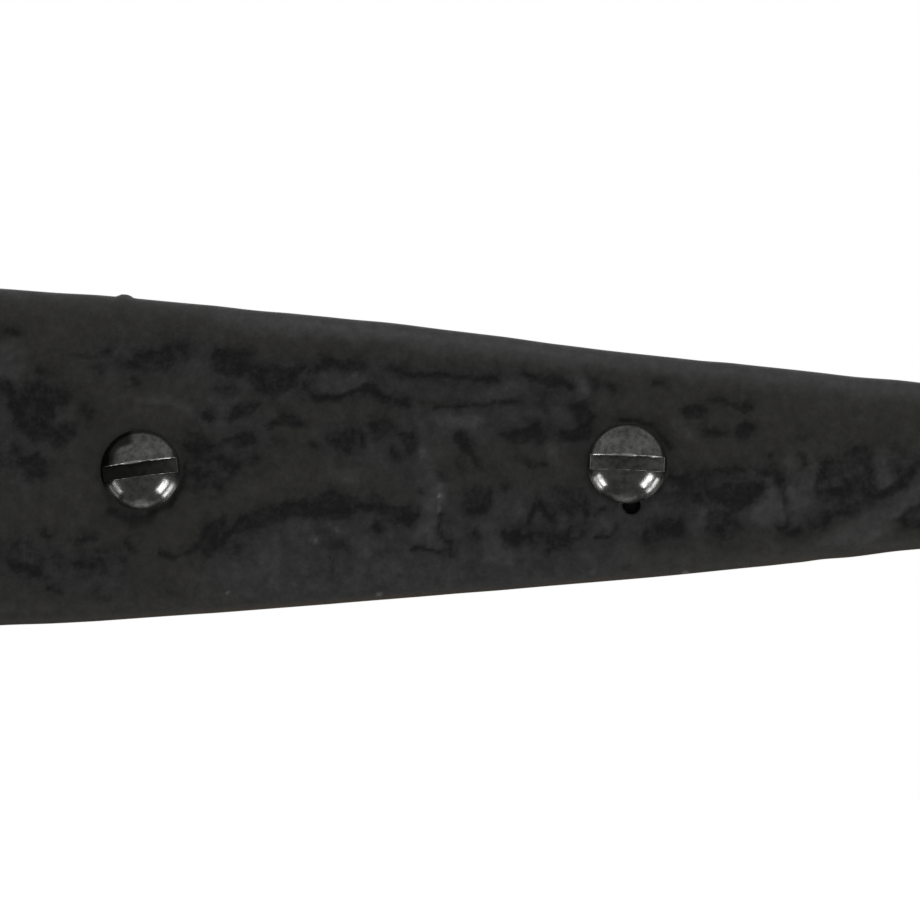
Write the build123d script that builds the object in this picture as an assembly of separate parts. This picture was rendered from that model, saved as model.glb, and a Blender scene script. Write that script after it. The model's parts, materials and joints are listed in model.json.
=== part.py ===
"""Tee hinge: a cross plate, a tapered strap, the pin they turn on, and their round-head screws.

Millimetres. +X runs along the strap to its tip, +Y goes back into the door, +Z is up along the pin.
The origin is the middle of the cross plate's back face. The strap is modelled flat open, as on a shut door.
"""

from build123d import *
import math
import os

# Both leaves
LEAF_THICKNESS = 3.5
FRONT_EDGE_RADIUS = 1.2
BACK_EDGE_RADIUS = 0.4

# Barrel: one strap knuckle between two cross plate knuckles
BARREL_DIAMETER = 12.0
STRAP_KNUCKLE_LENGTH = 28.0
PLATE_KNUCKLE_LENGTH = 14.0
KNUCKLE_GAP = 0.25
LEAF_TO_BARREL_GAP = 0.5
KNUCKLE_ROOT_FILLET = 2.0
KNUCKLE_END_CHAMFER = 0.5

# Pin, peened over at both ends
PIN_DIAMETER = 6.0
PIN_RADIAL_CLEARANCE = 0.05
PIN_HEAD_DIAMETER = 9.0
PIN_HEAD_HEIGHT = 1.8
PIN_HEAD_RIM = 0.5

# Cross plate
PLATE_WIDTH = 36.0
PLATE_HEIGHT = 90.0
PLATE_CORNER_RADIUS = 3.0
PLATE_SCREW_SPACING_X = 16.0
PLATE_SCREW_SPACING_Z = 64.0

# Strap, measured from the pin's axis. Its edges leave the root parallel and bend into a straight taper.
STRAP_LENGTH = 203.0
STRAP_ROOT_WIDTH = 36.4
STRAP_BEND_DISTANCE = 53.8
STRAP_TIP_RADIUS = 2.9
STRAP_SHOULDER_RADIUS = 2.0
STRAP_FIRST_SCREW = 22.0
STRAP_SCREW_SPACING = 48.6
STRAP_SCREW_COUNT = 4
STRAP_DRIFTED_SCREW_INDEX = 1
STRAP_SCREW_DRIFT = -1.2

# Casting blow hole that shows below one strap screw
BLOW_HOLE_SCREW_INDEX = 2
BLOW_HOLE_DIAMETER = 1.8
BLOW_HOLE_DEPTH = 2.2
BLOW_HOLE_BELOW_SCREW = 4.1
BLOW_HOLE_BESIDE_SCREW = 0.52

# Screw: number 8 slotted round-head wood screw
SCREW_HEAD_DIAMETER = 8.0
SCREW_HEAD_HEIGHT = 2.6
SCREW_HEAD_RIM = 0.6
SCREW_SHANK_DIAMETER = 4.1
SCREW_CORE_DIAMETER = 2.9
SCREW_LENGTH = 32.0
SCREW_SHANK_LENGTH = 11.0
SCREW_SHOULDER_LENGTH = 0.8
SCREW_POINT_LENGTH = 6.0
SCREW_SLOT_WIDTH = 1.45
SCREW_SLOT_DEPTH = 1.6
SCREW_HOLE_CLEARANCE = 0.35
PLATE_SLOT_ANGLES = (24.0, -38.0, 71.0, -12.0)
STRAP_SLOT_ANGLES = (-31.0, 9.0, -1.0, 52.0)

# Places that follow from the sizes above
BARREL_RADIUS = BARREL_DIAMETER / 2
PIN_X = PLATE_WIDTH / 2 + LEAF_TO_BARREL_GAP + BARREL_RADIUS
PIN_Y = -BARREL_RADIUS
BORE_DIAMETER = PIN_DIAMETER + 2 * PIN_RADIAL_CLEARANCE
PLATE_KNUCKLE_START = STRAP_KNUCKLE_LENGTH / 2 + KNUCKLE_GAP
PLATE_KNUCKLE_END = PLATE_KNUCKLE_START + PLATE_KNUCKLE_LENGTH
SCREW_HOLE_DIAMETER = SCREW_SHANK_DIAMETER + 2 * SCREW_HOLE_CLEARANCE
TONGUE_REACH = BARREL_RADIUS + LEAF_TO_BARREL_GAP + KNUCKLE_ROOT_FILLET + FRONT_EDGE_RADIUS


def strap_screw_places():
    """Screw places along the strap, one of them drilled a little off the middle line."""
    places = []
    for i in range(STRAP_SCREW_COUNT):
        drift = STRAP_SCREW_DRIFT if i == STRAP_DRIFTED_SCREW_INDEX else 0.0
        places.append((PIN_X + STRAP_FIRST_SCREW + i * STRAP_SCREW_SPACING, drift))
    return places


def plate_screw_places():
    """Screw places on the cross plate: the corners of a rectangle about its middle."""
    half_x = PLATE_SCREW_SPACING_X / 2
    half_z = PLATE_SCREW_SPACING_Z / 2
    return [(x, z) for x in (-half_x, half_x) for z in (-half_z, half_z)]


def leaf_blank(outline):
    """A flat casting with its back on Y = 0, a well rounded front edge and a slightly eased back edge."""
    blank = extrude(outline, LEAF_THICKNESS)
    front = blank.faces().sort_by(Axis.Y)[0]
    blank = fillet(front.edges(), FRONT_EDGE_RADIUS)
    back = blank.faces().sort_by(Axis.Y)[-1]
    return fillet(back.edges(), BACK_EDGE_RADIUS)


def screw_holes(places):
    """Clearance holes through a leaf."""
    hole = Cylinder(SCREW_HOLE_DIAMETER / 2, 3 * LEAF_THICKNESS, rotation=(90, 0, 0))
    return [Pos(x, -LEAF_THICKNESS / 2, z) * hole for x, z in places]


def knuckle(towards_leaf, low, high):
    """A barrel segment from Z = low to high, and the tongue that joins its back to a leaf.

    towards_leaf is 1 where the leaf lies on the +X side of the pin and -1 on the other side.
    """
    barrel = Pos(PIN_X, PIN_Y) * Circle(BARREL_RADIUS)
    tongue = Pos(PIN_X + towards_leaf * TONGUE_REACH / 2, -LEAF_THICKNESS / 2) * Rectangle(
        TONGUE_REACH, LEAF_THICKNESS
    )
    profile = barrel + tongue
    inner_corner = [
        v
        for v in profile.vertices()
        if abs(v.Y + LEAF_THICKNESS) < 0.01 and abs(v.X - PIN_X) < BARREL_RADIUS
    ]
    profile = fillet(inner_corner, KNUCKLE_ROOT_FILLET)
    segment = extrude(Plane.XY.offset(low) * profile, high - low)
    rims = [
        e
        for e in segment.edges().filter_by(GeomType.CIRCLE)
        if abs(e.radius - BARREL_RADIUS) < 0.01
    ]
    return chamfer(rims, KNUCKLE_END_CHAMFER)


def pin_bore(low, high):
    """The bore for the pin, from just below Z = low to just above high."""
    middle = Pos(PIN_X, PIN_Y, (low + high) / 2)
    return middle * Cylinder(BORE_DIAMETER / 2, high - low + 2 * KNUCKLE_GAP)


def strap_outline():
    """The strap's face: parallel at the root, a long bend, a straight taper and a round tip."""
    root_x = BARREL_RADIUS + LEAF_TO_BARREL_GAP
    half_root = STRAP_ROOT_WIDTH / 2
    tip_centre = STRAP_LENGTH - STRAP_TIP_RADIUS
    # The taper is the tangent from the bend's corner to the tip's circle.
    run = tip_centre - STRAP_BEND_DISTANCE
    taper = math.atan2(half_root, run) - math.asin(STRAP_TIP_RADIUS / math.hypot(half_root, run))
    bend_reach = STRAP_BEND_DISTANCE - root_x
    bend_radius = bend_reach / math.tan(taper / 2)
    tip_tangent = (
        tip_centre + STRAP_TIP_RADIUS * math.sin(taper),
        STRAP_TIP_RADIUS * math.cos(taper),
    )
    root = Line((root_x, 0), (root_x, half_root))
    bend = JernArc(root @ 1, (1, 0), bend_radius, -math.degrees(taper))
    edge = Line(bend @ 1, tip_tangent)
    tip = ThreePointArc(
        edge @ 1,
        (
            tip_centre + STRAP_TIP_RADIUS * math.cos(math.pi / 4 - taper / 2),
            STRAP_TIP_RADIUS * math.sin(math.pi / 4 - taper / 2),
        ),
        (STRAP_LENGTH, 0),
    )
    half = make_face([root, bend, edge, tip, Line((STRAP_LENGTH, 0), (root_x, 0))])
    whole = half + mirror(half, Plane.XZ)
    shoulders = whole.vertices().group_by(Axis.X)[0]
    return Plane.XZ * (Pos(PIN_X, 0) * fillet(shoulders, STRAP_SHOULDER_RADIUS))


def strap():
    """The moving leaf with its single knuckle."""
    half_knuckle = STRAP_KNUCKLE_LENGTH / 2
    leaf = leaf_blank(strap_outline()) + knuckle(1, -half_knuckle, half_knuckle)
    leaf -= pin_bore(-half_knuckle, half_knuckle)
    places = strap_screw_places()
    leaf -= screw_holes(places)
    x, z = places[BLOW_HOLE_SCREW_INDEX]
    pit = Pos(x + BLOW_HOLE_BESIDE_SCREW, -LEAF_THICKNESS, z - BLOW_HOLE_BELOW_SCREW) * Cylinder(
        BLOW_HOLE_DIAMETER / 2, 2 * BLOW_HOLE_DEPTH, rotation=(90, 0, 0)
    )
    return leaf - pit


def cross_plate():
    """The fixed leaf with a knuckle above and below the strap's."""
    outline = Plane.XZ * RectangleRounded(PLATE_WIDTH, PLATE_HEIGHT, PLATE_CORNER_RADIUS)
    plate = leaf_blank(outline)
    for low, high in (
        (-PLATE_KNUCKLE_END, -PLATE_KNUCKLE_START),
        (PLATE_KNUCKLE_START, PLATE_KNUCKLE_END),
    ):
        plate += knuckle(-1, low, high)
        plate -= pin_bore(low, high)
    return plate - screw_holes(plate_screw_places())


def dome_radius(half_width, height):
    """Radius of the sphere that a dome of this half width and height is cut from."""
    return (half_width**2 + height**2) / (2 * height)


def dome_angle(half_width, height):
    """Angle from the dome's crown to its rim, in degrees."""
    return math.degrees(2 * math.atan2(height, half_width))


def hinge_pin():
    """A plain pin whose two ends are hammered over into low domed heads."""
    radius = PIN_DIAMETER / 2
    head = PIN_HEAD_DIAMETER / 2
    rim = PLATE_KNUCKLE_END + PIN_HEAD_RIM
    crown = PLATE_KNUCKLE_END + PIN_HEAD_HEIGHT
    shank = Polyline(
        (0, crown),
        (0, 0),
        (radius, 0),
        (radius, PLATE_KNUCKLE_END),
        (head, PLATE_KNUCKLE_END),
        (head, rim),
    )
    dome = JernArc((0, crown), (1, 0), dome_radius(head, crown - rim), -dome_angle(head, crown - rim))
    half = revolve(Plane.XZ * make_face([shank, dome]), Axis.Z)
    return Pos(PIN_X, PIN_Y, 0) * (half + mirror(half, Plane.XY))


def screw(slot_angle):
    """A round-head wood screw on the Y axis, its head seated on a leaf's front face.

    slot_angle turns the slot from +X towards +Z, in degrees. The thread's core stands for the thread.
    """
    seat = -LEAF_THICKNESS
    head = SCREW_HEAD_DIAMETER / 2
    shank = SCREW_SHANK_DIAMETER / 2
    core = SCREW_CORE_DIAMETER / 2
    crown = seat - SCREW_HEAD_HEIGHT
    shank_end = seat + SCREW_SHANK_LENGTH
    tip = seat + SCREW_LENGTH
    rise = SCREW_HEAD_HEIGHT - SCREW_HEAD_RIM
    dome = JernArc((0, crown), (1, 0), dome_radius(head, rise), dome_angle(head, rise))
    body = Polyline(
        dome @ 1,
        (head, seat),
        (shank, seat),
        (shank, shank_end),
        (core, shank_end + SCREW_SHOULDER_LENGTH),
        (core, tip - SCREW_POINT_LENGTH),
        (0, tip),
        (0, crown),
    )
    blank = revolve(make_face([dome, body]), Axis.Y)
    slot = Pos(0, crown, 0) * Box(2 * SCREW_HEAD_DIAMETER, 2 * SCREW_SLOT_DEPTH, SCREW_SLOT_WIDTH)
    return blank - Rot(0, -slot_angle, 0) * slot


def screws(places, slot_angles):
    """One screw in each hole, each left with its slot at its own angle."""
    return Compound(
        [Pos(x, 0, z) * screw(slot_angles[i % len(slot_angles)]) for i, (x, z) in enumerate(places)]
    )


nodes = {
    "cross_plate": cross_plate(),
    "strap": strap(),
    "hinge_pin": hinge_pin(),
    "cross_plate_screws": screws(plate_screw_places(), PLATE_SLOT_ANGLES),
    "strap_screws": screws(strap_screw_places(), STRAP_SLOT_ANGLES),
}

os.makedirs("parts", exist_ok=True)
for name, shape in nodes.items():
    export_step(shape, f"parts/{name}.step")
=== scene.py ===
"""Tee hinge in black hammered iron, seen square on at the middle of its strap."""

import json
import math

import bmesh
import bpy
from mathutils import Matrix, Vector, kdtree, noise


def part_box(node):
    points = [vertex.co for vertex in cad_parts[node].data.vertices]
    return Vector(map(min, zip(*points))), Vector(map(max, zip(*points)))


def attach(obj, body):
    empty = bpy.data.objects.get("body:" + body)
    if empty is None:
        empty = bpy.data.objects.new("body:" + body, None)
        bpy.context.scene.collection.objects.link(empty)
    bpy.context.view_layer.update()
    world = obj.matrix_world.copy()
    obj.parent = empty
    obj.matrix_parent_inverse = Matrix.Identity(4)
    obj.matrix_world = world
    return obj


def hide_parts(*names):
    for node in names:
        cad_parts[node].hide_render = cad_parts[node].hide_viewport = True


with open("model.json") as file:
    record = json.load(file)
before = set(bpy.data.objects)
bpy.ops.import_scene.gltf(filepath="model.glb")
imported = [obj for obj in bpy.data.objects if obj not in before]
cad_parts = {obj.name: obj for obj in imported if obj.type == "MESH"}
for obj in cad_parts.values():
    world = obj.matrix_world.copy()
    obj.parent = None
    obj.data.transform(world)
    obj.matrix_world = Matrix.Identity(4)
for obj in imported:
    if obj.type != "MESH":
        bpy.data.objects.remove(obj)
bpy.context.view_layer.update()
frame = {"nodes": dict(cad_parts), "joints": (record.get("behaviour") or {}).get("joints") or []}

# Vector noise follows the clock unless it is given a seed.
NOISE_SEED = 2
noise.seed_set(NOISE_SEED)


# Cross plate
# The short fixed leaf, one iron casting with a knuckle above and below the strap's. Its pattern was beaten
# with a hammer, so the face is smooth high ground broken by ragged hollows, painted satin black.

MM = 0.001
WELD = 0.001 * MM
LEAF_FRONT = -3.5 * MM
BACK_SLACK = 0.02 * MM
HAMMER_GRID = 0.30 * MM
HAMMER_DEPTH = 0.20 * MM
SWELL_HEIGHT = 0.05 * MM
EDGE_ROUND = 1.2 * MM
EDGE_SLOPE = 0.7
EDGE_CROWN_WIDTH = 4.0 * MM
EDGE_CROWN_DROP = 0.45 * MM
EDGE_STRAY_REACH = 5.0 * MM
EDGE_RUST = (0.05 * MM, 0.35 * MM)
INLAND = (0.3 * MM, 2.2 * MM)
HEAD_RADIUS = 4.0 * MM
HEAD_SEAT = (3.6 * MM, 4.2 * MM)
SCREW_HOLE_REACH = 3.0 * MM
BARREL_RADIUS = 6.0 * MM
BARREL_SLACK = 0.2 * MM
BARREL_REACH = 9.0 * MM
BARREL_DEPTH = 0.12 * MM
# In millimetres: how far the marks fade out round their lines, the size of a paint chip, and the place in
# the noise that the knuckles are unrolled from.
HOLLOW_HALO = 1.0
RIDGE_HALO = 0.4
ROUGH_HALO = 0.8
CHIP_RADIUS = 0.17
BARREL_NOISE = 40.0
pin_axis = Vector(frame["joints"][0]["pos_m"])


def smoothstep(low, high, value):
    """0 below low, 1 above high and an even S between them."""
    t = min(max((value - low) / (high - low), 0.0), 1.0)
    return t * t * (3.0 - 2.0 * t)


def add_piece(name, bm):
    """An object from a bmesh, which it uses up."""
    mesh = bpy.data.meshes.new(name)
    bm.to_mesh(mesh)
    bm.free()
    piece = bpy.data.objects.new(name, mesh)
    bpy.context.collection.objects.link(piece)
    return piece


def apply_modifiers(piece):
    """Gives a piece the mesh that its modifiers make, and drops the modifiers."""
    depsgraph = bpy.context.evaluated_depsgraph_get()
    made = bpy.data.meshes.new_from_object(piece.evaluated_get(depsgraph))
    piece.modifiers.clear()
    piece.data = made
    made.name = piece.name
    return made


def flatten_back(mesh):
    """Makes the plain back of a leaf, which has no marks, from a few large faces."""
    bm = bmesh.new()
    bm.from_mesh(mesh)
    back = [f for f in bm.faces if all(v.co.y > -BACK_SLACK for v in f.verts)]
    bmesh.ops.delete(bm, geom=back, context="FACES")
    gap = [e for e in bm.edges if e.is_boundary]
    bmesh.ops.triangle_fill(bm, edges=gap, use_beauty=True, normal=(0, 1, 0))
    bm.to_mesh(mesh)
    bm.free()


def cast_copy(node, name):
    """A copy of a casting on a grid that is fine enough to take its hammer marks."""
    bm = bmesh.new()
    bm.from_mesh(frame["nodes"][node].data)
    bmesh.ops.remove_doubles(bm, verts=bm.verts[:], dist=WELD)
    piece = add_piece(name, bm)
    remesh = piece.modifiers.new("hammer grid", "REMESH")
    remesh.mode = "VOXEL"
    remesh.voxel_size = HAMMER_GRID
    flatten_back(apply_modifiers(piece))
    return piece


def face_noise(at, rate_x, rate_z, seed):
    """Smooth noise from -1 to 1 at a place in millimetres, with its rates in waves to the millimetre."""
    return noise.noise(Vector((at.x * rate_x, at.z * rate_z, seed)))


def ragged_at(at, seed):
    """Noise from about -1 to 1 in three sizes, from 2 mm down to half a millimetre."""
    sizes = ((0.9, 0.45), (0.7, 0.95), (0.55, 1.9))
    return sum(share * face_noise(at, rate, 1.15 * rate, seed) for share, rate in sizes)


def chance_hollow(at):
    """Depth from 0 to 1 of the ragged hollows that the hammer left by chance."""
    broad = face_noise(at, 0.16, 0.30, 3.7)
    ragged = face_noise(at, 0.55, 0.75, 9.1)
    return smoothstep(0.05, 0.45, broad + 0.45 * ragged)


def line_reach(at, points):
    """Distance in millimetres from a place on the face to a line of points on it."""
    nearest = math.inf
    for (ax, az), (bx, bz) in zip(points, points[1:]):
        dx = bx - ax
        dz = bz - az
        t = ((at[0] - ax) * dx + (at[1] - az) * dz) / max(dx * dx + dz * dz, 1e-9)
        t = min(max(t, 0.0), 1.0)
        nearest = min(nearest, math.hypot(at[0] - ax - t * dx, at[1] - az - t * dz))
    return nearest


def within(at, outline):
    """Whether a place lies inside a closed line of points."""
    inside = False
    for (ax, az), (bx, bz) in zip(outline, outline[1:]):
        if (az > at[1]) != (bz > at[1]) and at[0] < ax + (bx - ax) * (at[1] - az) / (bz - az):
            inside = not inside
    return inside


def marks_near(at, marks, halo):
    """Strength from 0 to 1 at a place of the marks that are drawn as lines, each with its own half width.

    A line that comes back to its first point is a patch, filled, and its width is the softness of its rim.
    Half of the strength reaches further out, by up to halo millimetres.
    """
    strength = 0.0
    for width, share, points in marks:
        room = 2.0 * (width + halo)
        if at[0] < min(p[0] for p in points) - room or at[0] > max(p[0] for p in points) + room:
            continue
        reach = 0.0
        if points[0] != points[-1] or not within(at, points):
            reach = line_reach(at, points)
        core = math.exp(-((reach / width) ** 3))
        skirt = math.exp(-((reach / (width + min(halo, 2.0 * width))) ** 2))
        strength = max(strength, share * (0.5 * core + 0.5 * skirt))
    return strength


def beaten_ground(at, along, ragged, by_chance, marks):
    """Level of the face at a place and its coarseness. by_chance lets in hollows that have no line."""
    hollows, ridges, rough = marks
    slow = noise.noise_vector(Vector((at.x * 0.5, at.z * 0.5, 1.0)))
    quick = noise.noise_vector(Vector((at.x * 1.3, at.z * 1.3, 4.0)))
    bent = (along + 0.2 * slow.x + 0.25 * quick.x, at.z + 0.2 * slow.y + 0.25 * quick.y)
    sunk = max(chance_hollow(at) * by_chance, marks_near(bent, hollows, HOLLOW_HALO))
    depth = min(max(1.32 * sunk + 0.5 * ragged * min(sunk * 2.0, 1.0), 0.0), 1.0)
    height = marks_near(bent, ridges, RIDGE_HALO) * (1.0 + 0.5 * ragged)
    coarse = max(marks_near(bent, rough, ROUGH_HALO), by_chance * smoothstep(-0.2, 0.3, ragged))
    plain = (0.07 + 0.19 * coarse) * ragged_at(at, 2.5)
    return height * (1.0 - depth) - depth + plain, coarse


def edge_shine(inside, upper, sheen, ragged):
    """Painted light along the outline, inside mm in from it: a painted highlight and sheen on the upper edge
    and a faint painted band of light by the lower edge. upper is 1 on the upper half.
    """
    line = 0.4 * math.exp(-inside / 0.25) + 0.96 * math.exp(-inside * (1.0 - 0.3 * ragged))
    band = (1.0 - smoothstep(0.8, 2.8, inside * (1.0 - 0.25 * ragged))) * smoothstep(0.2, 0.9, inside)
    low_line = 0.2 * math.exp(-(((inside - 1.4) / 0.6) ** 2))
    return (upper * (line + sheen * band) + (1.0 - upper) * low_line) * smoothstep(0.0, 0.2, inside)


def chipped_at(place, chips):
    """Share of bare iron that the chips in the paint show at a place."""
    shares = (share * math.exp(-((math.dist(place, chip) / CHIP_RADIUS) ** 2)) for share, chip in chips)
    return max(shares, default=0.0)


def screw_distance(place, screws):
    """Distance along the face from a place to the middle of the nearest screw."""
    return min(math.hypot(place.x - x, place.z - z) for x, z in screws)


def outline_of(leaf_verts, screws):
    """A search tree of the points round a leaf's outline, without the walls of its screw holes."""
    sides = [v for v in leaf_verts if v.co.y > LEAF_FRONT + EDGE_ROUND and abs(v.normal.y) < EDGE_SLOPE]
    sides = [v for v in sides if screw_distance(v.co, screws) > SCREW_HOLE_REACH]
    outline = kdtree.KDTree(len(sides))
    for i, v in enumerate(sides):
        outline.insert((v.co.x, 0, v.co.z), i)
    outline.balance()
    return outline


def hammer_barrel(bm, relief):
    """Beats shallow hollows into the outside of the knuckles, away from their ends."""
    for v in bm.verts:
        out = Vector((v.co.x - pin_axis.x, v.co.y - pin_axis.y, 0.0))
        if abs(out.length - BARREL_RADIUS) > BARREL_SLACK or v.normal.dot(out.normalized()) < 0.9:
            continue
        unrolled = Vector((BARREL_RADIUS / MM * math.atan2(out.x, -out.y) + BARREL_NOISE, 0.0, v.co.z / MM))
        hollow = chance_hollow(unrolled) * smoothstep(0.05, 0.6, -v.co.y / MM)
        # The paint darkens in these hollows as painted shade.
        v[relief] = -hollow
        v.co -= out.normalized() * (BARREL_DEPTH * hollow)


def hammer_face(piece, barrel_side, screws, marks, chips, edge_rise, edge_sheen, edge_rust, chance):
    """Beats a leaf's front: a crowned edge, hollows, ridges and smooth spots round the screws.

    marks holds the lines of the hollows, of the ridges and of the coarse ground, and chips the places of
    chips in the paint. edge_rise and the three functions after it are of the place along the hinge, in
    millimetres from the pin: how far the outline strays, how strong the painted sheen on the upper edge is,
    how far the lower edge has rusted and how far chance hollows are let in. Four point attributes are kept
    for the paint. relief is -1 in the deepest hollow, 0 on the plain face and 1 on the highest ridge, with
    the painted light of the edges added; the paint's tone follows it as painted shade in the hollows and
    painted light on the ridges. rough is 1 where the skin of the casting is coarse, and rust and chip are 1
    where the paint is gone.
    """
    bm = bmesh.new()
    bm.from_mesh(piece.data)
    relief, rough, rust, chip = [bm.verts.layers.float.new(n) for n in ("relief", "rough", "rust", "chip")]
    on_leaf = [v for v in bm.verts if (v.co.x - pin_axis.x) * barrel_side > BARREL_REACH]
    outline = outline_of(on_leaf, screws)
    for v in on_leaf:
        at = v.co / MM
        along = at.x - pin_axis.x / MM
        edge = outline.find((v.co.x, 0, v.co.z))[2]
        near_edge = (1.0 - smoothstep(0.0, EDGE_STRAY_REACH, edge)) * smoothstep(4.0, 7.0, abs(at.z))
        v.co.z += edge_rise(along, at.z > 0.0) * MM * near_edge
        bare = edge_rust(along) * (1.0 + 0.5 * face_noise(at, 0.8, 0.8, 5.0))
        v[rust] = bare * (1.0 - smoothstep(*EDGE_RUST, edge)) * smoothstep(4.0, 6.0, -at.z)
        if at.y > (LEAF_FRONT + EDGE_ROUND) / MM:
            continue
        ragged = ragged_at(at, 7.0)
        level, coarse = beaten_ground(at, along, ragged, chance(along), marks)
        open_ground = smoothstep(*HEAD_SEAT, screw_distance(v.co, screws))
        level *= smoothstep(*INLAND, edge) * open_ground
        upper = smoothstep(-2.0, 2.0, at.z)
        # The painted highlight and sheen of the edges join the relief, which sets the paint's tone.
        v[relief] = level + edge_shine(edge / MM, upper, edge_sheen(along), ragged)
        v[rough] = coarse * open_ground
        v[chip] = chipped_at((along, at.z), chips)
        crown_share = 1.0 - min(edge / (EDGE_CROWN_WIDTH * (0.6 + 0.4 * upper)), 1.0)
        crown = EDGE_CROWN_DROP * (0.4 + 0.6 * upper) * crown_share**2
        swell = SWELL_HEIGHT * face_noise(at, 0.13, 0.13, 2.0) * open_ground
        front_share = min(1.0 - (v.co.y - LEAF_FRONT) / EDGE_ROUND, 1.0)
        v.co.y += (crown + swell - HAMMER_DEPTH * level) * front_share
    hammer_barrel(bm, relief)
    for face in bm.faces:
        face.smooth = any(v.co.y < -BACK_SLACK for v in face.verts)
    bm.to_mesh(piece.data)
    bm.free()


def plate_edge_rise(along, upper):
    """Straying of the cross plate's outline by chance, inwards on the whole."""
    inwards = -0.07 if upper else 0.07
    return inwards * (0.5 + noise.noise(Vector((along * 0.2, upper, 6.0))))


plate_low, plate_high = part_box("cross_plate_screws")
plate_places = [
    (x, z)
    for x in (plate_low.x + HEAD_RADIUS, plate_high.x - HEAD_RADIUS)
    for z in (plate_low.z + HEAD_RADIUS, plate_high.z - HEAD_RADIUS)
]
cross_plate = cast_copy("cross_plate", "cross_plate_casting")
hammer_face(
    cross_plate,
    -1.0,
    plate_places,
    marks=((), (), ()),
    chips=(),
    edge_rise=plate_edge_rise,
    edge_sheen=lambda along: 0.4,
    edge_rust=lambda along: 0.4,
    chance=lambda along: 1.0,
)

# Tones of the paint and of bare iron. The hollow tone is painted shade that darkens the hollows nearly to
# black, and the ridge tone is painted light on the raised ground and along the edges.
IRON_TONES = {
    "Plain": (0.0208, 0.0200, 0.0173),
    "Hollow_shade": (0.0014, 0.0014, 0.0015),
    "Ridge_light": (0.0495, 0.0495, 0.0510),
    "Rough": (0.0208, 0.0208, 0.0214),
    "Rust": (0.0390, 0.0275, 0.0185),
    "Iron": (0.1700, 0.1700, 0.1700),
}
PAINT_SPECULAR = 0.44
PAINT_GRAIN = 0.05 * MM


def add_node(tree, kind, output, inputs=None, **settings):
    """An output of a new node, whose inputs are linked to other nodes' outputs or set to plain values."""
    node = tree.nodes.new(f"ShaderNode{kind}")
    for name, setting in settings.items():
        setattr(node, name, setting)
    for name, value in (inputs or {}).items():
        if isinstance(value, bpy.types.NodeSocket):
            tree.links.new(value, node.inputs[name])
        else:
            node.inputs[name].default_value = value
    return node.outputs[output]


def point_value(tree, name):
    """A value that the mesh keeps at its points."""
    return add_node(tree, "Attribute", "Fac", attribute_name=name)


def fine_noise(tree, scale, detail, roughness):
    """Noise that stays with the piece, scale in waves to the metre."""
    place = add_node(tree, "TexCoord", "Object")
    settings = {"Vector": place, "Scale": scale, "Detail": detail, "Roughness": roughness}
    return add_node(tree, "TexNoise", "Fac", settings)


def arithmetic(tree, operation, *values):
    """The result of a sum on outputs or plain values."""
    return add_node(tree, "Math", "Value", dict(enumerate(values)), operation=operation)


def ranged(tree, value, low, high, to_low=0.0, to_high=1.0, way="LINEAR"):
    """A value carried from the range low to high over to another range, and held at its ends."""
    ends = {"From Min": low, "From Max": high, "To Min": to_low, "To Max": to_high}
    return add_node(tree, "MapRange", "Result", {"Value": value, **ends}, interpolation_type=way)


def blended(tree, share, first, second):
    """A colour between two others."""
    return add_node(tree, "Mix", "Result", {"Factor": share, "A": first, "B": second}, data_type="RGBA")


def bent_normal(tree, height, strength, distance):
    """The normal of a surface with a fine grain."""
    settings = {"Height": height, "Strength": strength, "Distance": distance}
    return add_node(tree, "Bump", "Normal", settings)


def cast_finish_group():
    """Tone, gloss and grain of black paint on hammered iron from the relief and fine noise: painted shade in
    hollows, painted light on ridges.
    """
    group = bpy.data.node_groups.new("cast_finish", "ShaderNodeTree")
    for name in IRON_TONES:
        group.interface.new_socket(name=name, socket_type="NodeSocketColor", in_out="INPUT")
    group.interface.new_socket(name="Color", socket_type="NodeSocketColor", in_out="OUTPUT")
    group.interface.new_socket(name="Roughness", socket_type="NodeSocketFloat", in_out="OUTPUT")
    group.interface.new_socket(name="Height", socket_type="NodeSocketFloat", in_out="OUTPUT")
    tones = group.nodes.new("NodeGroupInput").outputs
    result = group.nodes.new("NodeGroupOutput").inputs
    relief = point_value(group, "relief")
    coarse = point_value(group, "rough")
    mottle = fine_noise(group, 900.0, 6.0, 0.75)
    grain = fine_noise(group, 2600.0, 3.0, 0.5)
    speck = arithmetic(group, "SUBTRACT", arithmetic(group, "MULTIPLY_ADD", grain, 0.7, mottle), 0.85)
    uneven = ranged(group, relief, 0.0, -1.0, 0.6, 1.25)
    spread = arithmetic(group, "MULTIPLY_ADD", coarse, 0.35, uneven)
    broken = arithmetic(group, "MULTIPLY_ADD", speck, spread, relief)
    tone = tones["Plain"]
    # Painted shade in the hollows and painted light on the ridges, both following the relief.
    for share, name in (
        (coarse, "Rough"),
        (ranged(group, broken, 0.05, -1.1), "Hollow_shade"),
        (ranged(group, broken, 0.05, 1.35), "Ridge_light"),
        (point_value(group, "rust"), "Rust"),
        (point_value(group, "chip"), "Iron"),
    ):
        tone = blended(group, share, tone, tones[name])
    cloud = ranged(group, mottle, 0.3, 0.7, 0.8, 1.2)
    clouded = add_node(group, "VectorMath", "Vector", {"Vector": tone, "Scale": cloud}, operation="SCALE")
    group.links.new(clouded, result["Color"])
    group.links.new(ranged(group, mottle, 0.3, 0.7, 0.40, 0.54), result["Roughness"])
    group.links.new(arithmetic(group, "MULTIPLY_ADD", grain, 0.35, mottle), result["Height"])
    return group


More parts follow.
